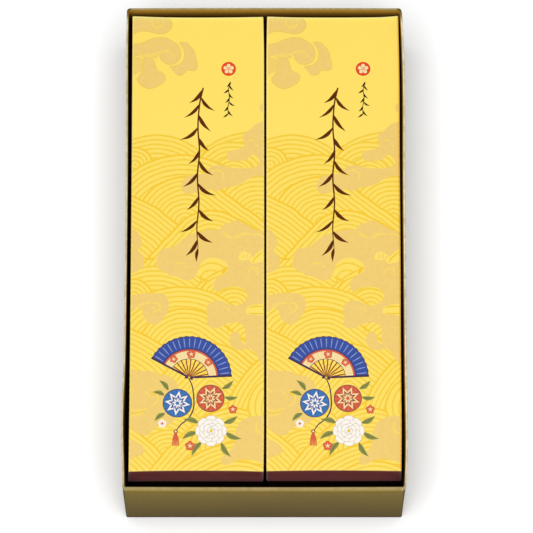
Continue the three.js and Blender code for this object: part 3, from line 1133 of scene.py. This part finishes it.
# All outlines of the print are in mm on the lid, across and along from its far left corner.
edgeOut = 83.5  # past the right edge, where the print is trimmed
clouds = {
    "rimWidth": 0.85,
    "rimmed": 4,  # the first four, at the far left corner, have a rim of their own colour
    "outlines": [
        # small roll at the far left corner
        [(-1, -1), (12, -1), (22, 0.6), (24.6, 3), (25.2, 5.6), (24.4, 8.2), (22.4, 10.4), (19.4, 11.7),
         (15.5, 11.7), (11.5, 10.8), (7.5, 10.2), (3.5, 10.7), (-1, 12.4)],
        # big roll with its curled head
        [(-1, 18.6), (3, 18), (7, 17), (10, 15.5), (14, 14.1), (18, 13.6), (22, 14.1), (25, 15.9),
         (28.6, 18.5), (30.1, 21), (30.8, 24), (30.6, 27), (29, 30), (26, 31.7), (23, 32), (20.2, 31),
         (18.2, 29.2), (17.2, 26.9), (16.6, 25.6), (13, 25.5), (8, 25.8), (3, 26.3), (-1, 26.6)],
        # crescent outside it
        [(29.5, 17.1), (32, 16.7), (34.6, 17.3), (36.6, 19.6), (38.6, 22), (39.7, 25), (40.3, 28),
         (41.1, 31), (41, 34), (39.4, 35.9), (37, 36), (34.6, 35.9), (33.2, 37.6), (31, 39.1), (28.5, 38.8),
         (26.5, 37.1), (25, 35), (23.3, 32.9), (25.4, 32.5), (28, 32), (30.4, 30.6), (31.8, 28.5),
         (32.5, 25.5), (32.1, 22.5), (31, 19.9)],
        # hanging lobe
        [(7, 27.3), (10, 26.5), (13, 27.6), (14.4, 30), (15.2, 33), (16.4, 35.6), (19, 37), (21, 38.8),
         (21.2, 41.2), (20, 43.6), (17.5, 45.5), (14, 47.3), (10.5, 47.9), (7, 46.6), (4.4, 44.4), (3, 42),
         (3.6, 40), (5.4, 37.4), (6.8, 34), (6.9, 30.5)],
        # right edge, above and between the waves
        [(edgeOut, 56.2), (80.6, 57.6), (79.8, 59.8), (80.5, 62), (edgeOut, 63.2)],
        [(edgeOut, 69.5), (79, 70), (76.5, 71.5), (74.5, 73.6), (72, 75.6), (69.6, 78), (69.2, 80.4),
         (70.6, 82.4), (70, 85.4), (66.5, 87.2), (62, 88.3), (59.5, 90.5), (60, 93.4), (63, 94.9),
         (67, 94.5), (70.4, 94.6), (72.8, 93), (74.6, 91), (77, 90.7), (79.2, 92.8), (79.7, 96), (78, 98.2),
         (74, 99.3), (70, 99.7), (65, 99.4), (60, 98.8), (56, 97.7), (52, 97.9), (49, 99.3), (47.3, 102),
         (47, 106), (47.6, 109.5), (49.6, 112.5), (52.5, 114.2), (55.5, 113.6), (58.5, 112.1), (62, 111.3),
         (66, 110.5), (69.5, 108.8), (72.5, 106.6), (76, 105), (80, 104.3), (edgeOut, 104.6)],
        # its tail in the middle
        [(31, 111.5), (32, 108), (34, 105.5), (38, 104), (43, 103.5), (48, 103), (50, 108), (49, 113.5),
         (45, 113), (41, 114.6), (37, 116), (33, 115.5)],
        # left edge
        [(-1, 138.8), (2.5, 139.3), (4.6, 141.5), (6.3, 144.6), (7, 148), (6, 150.6), (4.6, 152),
         (5.8, 154), (8, 156.4), (8.4, 160), (7.8, 163.4), (5, 165.4), (-1, 166.7)],
        [(-1, 181.6), (4, 181), (8, 179.9), (12, 180.1), (16, 179.9), (20, 180.3), (23, 182.4), (23.9, 186),
         (23.8, 190), (22.4, 193.5), (20.5, 196), (18.4, 198.5), (15.4, 199.8), (12.2, 199.2), (10, 197),
         (8.4, 194.4), (7.6, 191.2), (6, 189.2), (3.6, 189.6), (-1, 192.6)],
        # the large bank: right edge, down round the small fans and back along the left
        [(57, 136.6), (59, 135.3), (62, 134.8), (64, 133.3), (66.5, 133.2), (70, 135.2), (74, 137.4),
         (78, 139.6), (edgeOut, 141.8), (edgeOut, 225.4), (80.5, 223.5), (78.5, 220), (76, 216.6),
         (73, 214), (71.2, 211.4), (71, 207.5), (71, 204), (70.6, 202), (69, 199.8), (66, 198.6),
         (62, 198.8), (58.4, 200.2), (55.5, 201.6), (52.5, 202.4), (49.5, 202), (47.6, 199.6), (47.6, 195),
         (47.2, 191.5), (47.5, 188.4), (49.5, 186), (53, 184.6), (56.5, 184.9), (60, 186.5), (63.5, 187.7),
         (67.5, 187.3), (70.8, 185), (72.2, 181.6), (71, 178), (67.5, 176.1), (62, 175.8), (57, 177),
         (54, 178.6), (52, 177.4), (51.5, 174.5), (52.4, 171.6), (55, 169.2), (58.4, 167.3), (60.3, 164.5),
         (59.8, 161.3), (56.5, 158.7), (52, 157.4), (47.5, 157.9), (44, 160.4), (42, 163.8), (41.2, 167.2),
         (39.4, 170), (36.5, 171.6), (33, 171.6), (30, 170.1), (27.5, 169), (24.6, 168.7), (22.2, 166.9),
         (18.5, 165.3), (16.5, 162.5), (16.3, 159), (17.3, 155), (19.6, 151.9), (23, 151), (26.5, 150.2),
         (29.5, 148), (32.5, 145.2), (35.5, 143.2), (38.5, 141.8), (42, 141), (46.5, 139.7), (51, 139.1),
         (55, 139)],
        [(61.5, 207.5), (63, 205), (65.5, 204.5), (67.5, 206), (68, 209), (69.5, 211.5), (72.5, 213),
         (73.5, 215), (71, 215.6), (67, 216), (64.5, 215.5), (62.5, 213.5), (61.2, 210.8)],
        # lower left
        [(-1, 229.4), (3.5, 228.6), (7, 229.4), (12, 229.3), (16, 230.2), (18.6, 232), (22, 231.8),
         (26, 233.5), (29, 236.5), (30, 241), (28.6, 246), (28.2, 252), (28.4, 258), (26, 262.4),
         (21.5, 264), (17, 264.8), (14, 267), (12, 269.5), (8.5, 269.8), (4.6, 268), (2, 265.8), (-1, 263)],
        [(-1, 272.4), (3, 272.8), (6.3, 274.6), (9, 277), (9.6, 279.6), (8, 281.8), (5, 283), (2.5, 284),
         (-1, 284.6)],
        # lower right
        [(edgeOut, 258.4), (78, 257.6), (74, 258.2), (70.5, 259.6), (67.5, 262), (65.5, 266), (64.5, 270.5),
         (64.3, 275), (62.5, 278.5), (59, 281.4), (56.6, 284), (56.6, 287), (59.5, 288.5), (63, 286.8),
         (67, 285), (72, 284.6), (77, 285.4), (edgeOut, 286.3)],
    ],
    "pale": [
        [(-1, 26.8), (2.5, 26.8), (5.5, 27.3), (7, 29), (7, 33), (6, 36), (3.6, 37.4), (-1, 38.4)],
        [(5, 25.8), (13, 25.6), (16.2, 26.2), (15.4, 27.8), (13.4, 27.6), (12, 26.6), (9.5, 26), (6.8, 27)],
    ],
    "islands": [
        [(66.8, 157.8), (67.4, 155), (70, 153.2), (72.6, 154), (74.6, 155.4), (75, 158.2), (72, 158.6),
         (69.4, 159)],
        [(edgeOut, 151.8), (79, 153.6), (76, 156.5), (73.9, 159), (75.2, 161), (78, 160.6),
         (edgeOut, 158.2)],
        [(edgeOut, 187.2), (77, 187.2), (73.2, 188.2), (71.4, 190.3), (72, 192.8), (76, 193.6),
         (edgeOut, 193.3)],
    ],
    "strokes": [
        # curls and inner contours: points, width, and an ink where it isn't paleYellow
        ([(12.4, 1.4), (12.1, 4), (13.4, 6.4), (15.8, 7.3), (18.3, 6.4), (19.6, 4), (19.4, 1.4)], 1.3),
        ([(14.2, 4.4), (15.9, 4.5), (17.6, 4.4)], 3.6, "paleTan"),
        ([(3, 26.1), (8, 25.4), (12.5, 25), (16, 24.6), (18.6, 23.4), (21.4, 22.8), (23.9, 23.7),
         (25.3, 25.4), (25.2, 27.4)], 1.15),
        ([(49.5, 105.4), (50.6, 102), (53.5, 100.6), (56.4, 102), (57.5, 105), (57.2, 107.6)], 1.1),
        ([(73, 81.7), (74.8, 81.1), (76.6, 82.1)], 1.2),
        ([(77.1, 83.3), (78, 84.2), (78.8, 85.4)], 1.2),
        ([(57.2, 140.6), (59.6, 142.8), (62.6, 144.6)], 1.9),
        ([(63.6, 144.8), (66.4, 143.4), (69.6, 142.1), (74, 141.8)], 1.9),
        ([(75, 142.4), (79, 142), (82.6, 143.4)], 1.5),
        ([(78.2, 162.5), (78.6, 165.4), (78.6, 168.8)], 1.2),
        ([(8.8, 157.4), (12, 158.1), (15.4, 157.5)], 1.4, "gold"),
        ([(40.8, 169.2), (44.5, 170.8), (48.5, 172)], 1.2, "gold"),
        ([(47.2, 172.2), (45.6, 174.6), (44.2, 177.6)], 1.1, "gold"),
        ([(58.8, 162.6), (58.5, 165), (56.4, 167.4)], 1.7, "gold"),
        ([(47.4, 84.4), (46.2, 87.8), (44.4, 91)], 1.3, "gold"),
        ([(57, 188.9), (60, 189.5), (61.6, 192)], 1.2),
        ([(58.8, 200.6), (60.6, 202.2), (60.6, 204.6)], 1.1, "gold"),
        ([(28, 161.4), (31, 160.6), (34.4, 161.4)], 1.2),
        ([(33, 164), (36.4, 162.8)], 1.1),
        ([(72.6, 168.4), (73.4, 165), (76, 163.8), (78.4, 165.4)], 1.2),
        ([(70.2, 154.8), (69.4, 157.8)], 0.9, "tan"),
        ([(72.3, 154.6), (71.6, 157.8)], 0.9, "tan"),
        ([(74.2, 156), (73.6, 158)], 0.8, "tan"),
        ([(75.4, 160.2), (77.1, 157.6), (79.3, 155.4), (82, 153.4)], 1.0, "gold"),
        ([(73, 189), (77, 188.3), (83, 188.4)], 1.0, "gold"),
        ([(73, 192.6), (77, 193), (83, 192.6)], 0.9, "line"),
        ([(13.8, 186.6), (16.8, 186.1), (18.4, 188.3), (17.4, 190.9), (14, 192.2)], 1.6),
        ([(13.6, 189.3), (16, 189.2)], 1.2),
        ([(3, 189.4), (6, 187.4), (9.5, 186.3), (13, 186)], 1.5),
        ([(78.3, 201.9), (81.8, 201.9)], 0.9),
        ([(12.8, 240.6), (15.8, 242.6), (17.7, 246), (16.6, 249.6), (13.2, 251.4)], 1.3),
        ([(9, 242), (11.5, 243.6), (12.4, 246.4)], 1.2),
        ([(14.4, 242.8), (16.6, 244.8)], 1.4, "gold"),
        ([(-0.6, 253.6), (5.5, 254.3), (11.2, 253)], 1.7),
        ([(-0.6, 257.3), (4.5, 257.2), (9, 255.6)], 1.7),
        ([(-0.6, 255.5), (4.8, 255.8), (10, 254.4)], 0.7, "line"),
        ([(-0.6, 239.4), (2.4, 241.2), (2, 243.8)], 1.3),
        ([(78.8, 261), (77.6, 264.4), (78.8, 267.4), (81.2, 268.2), (83, 266.6)], 1.5),
    ],
}


def shrunk(outline, distance):
    # the same outline drawn in by a distance
    area = sum(a[0] * b[1] - b[0] * a[1] for a, b in zip(outline, outline[1:] + outline[:1]))
    shift = distance if area > 0 else -distance
    moved = []
    for index, point in enumerate(outline):
        direction = Vector(outline[(index + 1) % len(outline)]) - Vector(outline[index - 1])
        moved.append(tuple(Vector(point) + aside(direction.normalized()) * shift))
    return moved


def cloudShapes():
    shapes = [patch(points, "paleTan") for points in clouds["pale"]]
    for index, points in enumerate(clouds["outlines"]):
        outline, ink = patch(points, "tan")
        if index < clouds["rimmed"]:
            shapes.append((outline, "tanRim"))
            outline = shrunk(outline, clouds["rimWidth"])
        shapes.append((outline, ink))
    shapes += [patch(points, "plainYellow") for points in clouds["islands"]]
    for points, width, *ink in clouds["strokes"]:
        shapes.append(stroke(points, width, ink[0] if ink else "paleYellow"))
    return shapes


def aim(angle):
    # a direction on the lid: 0 is towards its far end, and angles turn clockwise, in degrees
    return Vector((math.sin(math.radians(angle)), -math.cos(math.radians(angle))))


def rays(count, turn=0.0, spread=360, shift=0.0):
    # directions spread evenly over an angle
    return [aim(turn + spread * (index + shift) / count) for index in range(count)]


def disc(centre, radius, ink, sides):
    return patch([Vector(centre) + radius * ray for ray in rays(sides)], ink, 0)


def spoke(centre, ray, start, end, *brush):
    # a straight brush line outwards; brush holds its width, ink, steps and ends
    return stroke([centre + ray * start, centre + ray * end], *brush)


leafShape = {
    # place along the leaf, share of its width to each side
    "spread": [(0, 0.06), (0.14, 0.3), (0.36, 0.5), (0.64, 0.38), (0.86, 0.16), (1, 0.02)],
    "steps": 4,
    "veinWidth": 0.45,
    "veinEnds": (0.6, 0.3),
}


def leaf(start, angle, length, width, ink, curl, vein=None):
    # like one press of a brush: a thin start, a full middle and a long tip
    ahead, steps = aim(angle), leafShape["steps"]
    across = aside(ahead)
    spine, upper, lower = [], [], []
    for t, share in leafShape["spread"]:
        spot = Vector(start) + ahead * length * t + across * curl * length * math.sin(math.pi * t)
        spine.append(spot)
        upper.append(spot + across * width * share)
        lower.append(spot - across * width * share)
    shapes = [patch(smoothLine(upper, steps) + smoothLine(lower, steps)[::-1], ink, 0)]
    if vein:
        shapes.append(stroke(spine[0:5:2], leafShape["veinWidth"], vein, steps, leafShape["veinEnds"]))
    return shapes


leafSpray = {
    "seed": 11,
    "stray": 11,  # degrees
    "alongStem": (0.02, 0.93),  # share of the stem before the first leaf, and from there to the last
    "lengths": (0.86, 1.1),
    "widths": (0.9, 1.12),
    "curls": (0.08, 0.16),
    "bough": {
        "line": [(44.6, 47), (42.4, 57.5), (41.4, 73), (42.4, 89), (41.2, 105), (42.2, 122), (41, 138),
                 (41.8, 151)],
        "brush": (0.95, "brown", 8, (1.0, 0.4)),  # width, ink, steps, ends
        "leaves": 15,
        "leaf": (12.6, 2.3, 44),  # length, width and degrees off straight down
    },
    "lastLeaf": (186, 9, 2, "brown", 0.05),  # turn, length, width, ink, curl
    "twig": {
        "line": [(61.6, 43), (60.4, 48), (60.9, 54), (60, 60), (60.3, 65)],
        "brush": (0.5, "black", 6, (1.0, 0.4)),
        "leaves": 9,
        "leaf": (4.6, 1.15, 46),
    },
}


def hangingStem(rng, stem):
    # a stem with leaves on alternate sides
    spray, count = leafSpray, stem["leaves"]
    start, reach = spray["alongStem"]
    length, width, turn = stem["leaf"]
    shapes = [stroke(stem["line"], *stem["brush"])]
    curve = smoothLine(stem["line"], 12)
    for index in range(count):
        spot = curve[int((start + reach * index / (count - 1)) * (len(curve) - 1))]
        way = 1 if index % 2 else -1
        angle = 180 - way * (turn + rng.uniform(-spray["stray"], spray["stray"]))
        size = (length * rng.uniform(*spray["lengths"]), width * rng.uniform(*spray["widths"]))
        shapes += leaf(spot, angle, *size, stem["brush"][1], way * rng.uniform(*spray["curls"]))
    return shapes


def sprayShapes():
    rng = random.Random(leafSpray["seed"])
    bough = hangingStem(rng, leafSpray["bough"])
    bough += leaf(leafSpray["bough"]["line"][-1], *leafSpray["lastLeaf"])
    return bough + hangingStem(rng, leafSpray["twig"])


blossomSeal = {
    "centre": (60.4, 34.6),
    "ground": (4.6, "red", 36),  # radius, ink and sides
    "petalReach": 2.15,
    "petal": (1.2, "cream", 16),
    "heart": [(0.92, "cream", 14), (0.46, "red", 10)],
    "petals": 5,
}


def sealShapes():
    middle, reach = Vector(blossomSeal["centre"]), blossomSeal["petalReach"]
    shapes = [disc(middle, *blossomSeal["ground"])]
    shapes += [disc(middle + ray * reach, *blossomSeal["petal"]) for ray in rays(blossomSeal["petals"])]
    return shapes + [disc(middle, *heart) for heart in blossomSeal["heart"]]


blossom = {
    "petals": 5,
    # shares of the blossom's size
    "petalReach": 0.27,
    "petalRadius": 0.235,
    "heart": 0.13,
    "rays": (0.12, 0.3),
    "rayWidth": 0.06,
}


def blossomShapes(centre, size, petalInk, heartInk, turn=0):
    # round petals about a heart with fine rays
    middle, ways = Vector(centre), rays(blossom["petals"], turn)
    reach, radius = size * blossom["petalReach"], size * blossom["petalRadius"]
    shapes = [disc(middle + ray * reach, radius, petalInk, 16) for ray in ways]
    shapes.append(disc(middle, size * blossom["heart"], heartInk, 12))
    start, end = (size * share for share in blossom["rays"])
    brush = (size * blossom["rayWidth"], heartInk, 2, (1, 0.6))
    return shapes + [spoke(middle, ray, start, end, *brush) for ray in ways]


foldingFan = {
    "pivot": (36.6, 233.5),
    "turn": 13,  # degrees to the right
    "spread": 148,
    "pleats": 18,
    "pleatDepth": 0.5,
    # from, to, degrees past the ends, ink
    "bands": [
        (11.65, 26.4, 1.0, "plum"),
        (12, 26, 0, "cobalt"),
        (12, 17.6, 0, "cream"),
        (16.7, 18.1, 0, "coral"),
        (17.8, 18.5, 0, "plum"),
    ],
    "ribCount": 10,
    # from, to, width, ink, steps, ends
    "ribs": (1.2, 12.5, 0.75, "rust", 3, (0.5, 1)),
    "folds": (19.1, 24.8, 0.62, "mist", 2, (0.5, 0.8)),
    "creases": (12.5, 16.2, 0.36, "tan", 2, (0.8, 0.8)),
    "guards": (-2.6, 26.3, 1.25, "plum", 4, (0.8, 1)),
    "guardTurn": 0.5,
    "blossoms": [(-52, 15, 5), (-8, 14.8, 5.6), (38, 15.2, 5)],  # turn, reach, size
    "blossomInks": ("coral", "cream"),  # petals, heart
    "rivet": [(1.15, "plum", 14), (0.7, "gold", 12)],
}


def fanBand(pivot, inner, outer, extra, ink):
    # one band of the pleated leaf, its outer edge in small zigzags
    count, spread = 2 * foldingFan["pleats"], foldingFan["spread"] + 2 * extra
    start = foldingFan["turn"] - spread / 2
    edge = [aim(start + spread * index / count) for index in range(count + 1)]
    far = [pivot + ray * (outer - foldingFan["pleatDepth"] * (index % 2)) for index, ray in enumerate(edge)]
    return patch(far + [pivot + ray * inner for ray in edge[::-1]], ink, 0)


def fanShapes():
    fan, pivot, spread = foldingFan, Vector(foldingFan["pivot"]), foldingFan["spread"]
    start = fan["turn"] - spread / 2
    shapes = [spoke(pivot, ray, *fan["ribs"]) for ray in rays(fan["ribCount"], start, spread, 0.5)]
    shapes += [fanBand(pivot, *band) for band in fan["bands"]]
    for index, ray in enumerate(rays(2 * fan["pleats"], start, spread)[1:]):
        shapes.append(spoke(pivot, ray, *fan["creases" if index % 2 else "folds"]))
    for turn, reach, size in fan["blossoms"]:
        shapes += blossomShapes(pivot + aim(fan["turn"] + turn) * reach, size, *fan["blossomInks"], turn)
    for angle in (start - fan["guardTurn"], start + spread + fan["guardTurn"]):
        shapes.append(spoke(pivot, aim(angle), *fan["guards"]))
    return shapes + [disc(pivot, *ring) for ring in fan["rivet"]]


threadBalls = {
    # centre, radius, turn, and the inks of the ground, the threads and the trim
    "balls": [
        ((29.6, 249.6), 9, 8, ("sky", "white", "cobalt")),
        ((49.8, 246.6), 8.6, 20, ("coral", "cream", "rust")),
    ],
    "rim": 0.4,
    "points": 8,
    "star": [(0.86, 0.17, 1), (0.62, 0.11, 2), (0.4, 0.06, 1)],  # reach, width, which ink
    "fine": (0.34, 0.7),  # width of a fine turn, and how far it stops short
    "waist": 0.55,  # share of a star's ray at which it is widest
    "heart": 0.12,  # share of the radius
}


def ballShapes(centre, radius, turn, ballInks):
    # wound thread: fine turns of thread, then a star in three layers
    ground, _, trim = ballInks
    centre, count = Vector(centre), threadBalls["points"]
    fineWidth, short = threadBalls["fine"]
    shapes = [disc(centre, radius, "plum", 40), disc(centre, radius - threadBalls["rim"], ground, 40)]
    for ray in rays(2 * count, turn, shift=0.5):
        shapes.append(spoke(centre, ray, 0, radius - short, fineWidth, trim, 2, (0.8, 0.8)))
    for reach, width, ink in threadBalls["star"]:
        for ray in rays(count, turn):
            tip, across = ray * radius * reach, aside(ray) * radius * width
            waist = centre + tip * threadBalls["waist"]
            shapes.append(patch([centre, waist + across, centre + tip, waist - across], ballInks[ink], 0))
    return shapes + [disc(centre, radius * threadBalls["heart"], ground, 12)]


peony = {
    "centre": (50.2, 267),
    # petals, reach, radius, turn
    "rings": [(8, 6.6, 3.5, 0), (8, 4.5, 3.1, 24), (6, 2.6, 2.6, 8), (4, 1.0, 1.7, 30)],
    "line": 0.3,  # mm of shade left round each petal
    "notch": 0.16,  # share of a petal's radius
    "notchWidth": 24,  # degrees
    "sides": 22,
    "heart": (1.0, "gold", 12),
}


def peonyPetal(centre, radius, angle, ink):
    # round, with a shallow notch in its outer edge
    outline = []
    for index, ray in enumerate(rays(peony["sides"], angle)):
        turn = 360 * index / peony["sides"]
        notch = peony["notch"] * hump(min(turn, 360 - turn), 0, peony["notchWidth"])
        outline.append(centre + ray * radius * (1 - notch))
    return patch(outline, ink, 0)


def peonyShapes():
    centre = Vector(peony["centre"])
    shapes = []
    for count, reach, radius, turn in peony["rings"]:
        for index in range(count):
            angle = turn + 360 * index / count
            spot = centre + aim(angle) * reach
            shapes.append(peonyPetal(spot, radius, angle, "shade"))
            shapes.append(peonyPetal(spot, radius - peony["line"], angle, "white"))
    return shapes + [disc(centre, *peony["heart"])]


garland = {
    # start, turn, length, width
    "leaves": [
        ((42.5, 262), 282, 9.5, 3.4), ((42, 268), 246, 10.5, 3.4), ((44.5, 274), 214, 10.5, 3.4),
        ((58, 262), 62, 9.5, 3.4), ((59, 268), 112, 10.5, 3.4), ((56.5, 274.5), 146, 10.5, 3.4),
        ((24, 241.5), 318, 8.5, 3.0), ((21.6, 244.6), 286, 7.5, 2.8), ((57, 240.5), 52, 8.5, 3.0),
        ((58.6, 246), 88, 8, 2.8), ((22, 256), 232, 8, 3.0),
    ],
    "leafLook": ("moss", 0.1, "leafDark"),  # ink, curl, the vein's ink
    "cord": [(36.6, 234), (38.6, 239), (39.6, 246), (39.4, 253), (36.6, 259), (31.8, 263), (28.8, 267)],
    "cordBrush": (0.8, "plum", 8, (0.7, 0.7)),  # width, ink, steps, ends
    "tassel": (28.6, 267.4),
    "tasselLength": 9,
    "threads": [-2, -1, 0, 1, 2],
    "threadSpread": (0.9, 0.3),  # mm apart at the end, and how far each bulges beyond that
    "threadBrush": (0.75, "coral", 3, (0.8, 0.8)),
    "knot": [(1.3, "rust", 12), (0.7, "cream", 10)],
    "blossoms": [((37.4, 276.4), 6.2, "coral", "cream"), ((63.5, 253.5), 5.6, "coral", "cream"),
                 ((20.4, 262.4), 5.2, "white", "coral")],
}


def garlandShapes():
    shapes = [stroke(garland["cord"], *garland["cordBrush"])]
    for place in garland["leaves"]:
        shapes += leaf(*place, *garland["leafLook"])
    knot, (apart, bulge) = Vector(garland["tassel"]), garland["threadSpread"]
    for thread in garland["threads"]:
        end = knot + Vector((apart * thread, garland["tasselLength"]))
        middle = (knot + end) / 2 + Vector((bulge * thread, 0))
        shapes.append(stroke([knot, middle, end], *garland["threadBrush"]))
    shapes += [disc(knot, *ring) for ring in garland["knot"]]
    for look in garland["blossoms"]:
        shapes += blossomShapes(*look)
    return shapes


def printShapes(side):
    shapes = cloudShapes() + sprayShapes() + sealShapes() + garlandShapes() + fanShapes()
    for ball in threadBalls["balls"]:
        shapes += ballShapes(*ball)
    shapes += peonyShapes()
    return [(trimmed(side, outline), ink) for outline, ink in shapes]


printInks = {name: buildInk(name, tone, varnish) for name, tone in inks.items() if name != "yellow"}
for name, tone in deepInks.items():
    printInks[name] = buildInk(name, paint(*tone, deepVarnish["sheen"]), deepVarnish)
print("inks ready:", len(printInks))


def buildCartons():
    maroon = buildMaroon()
    darkBoard = buildBoard("darkBoard", carton["base"])
    for side, node in packNodes.items():
        place = packPlace(side)
        lid = buildLid(place, buildPrintGround(place), printShapes(side))
        for piece in (lid, buildSkirt(place, maroon), buildBase(place, darkBoard)):
            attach(piece, "root")
        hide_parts(node)
        print("carton ready:", side, len(lid.data.polygons), "faces on its lid")


buildCartons()
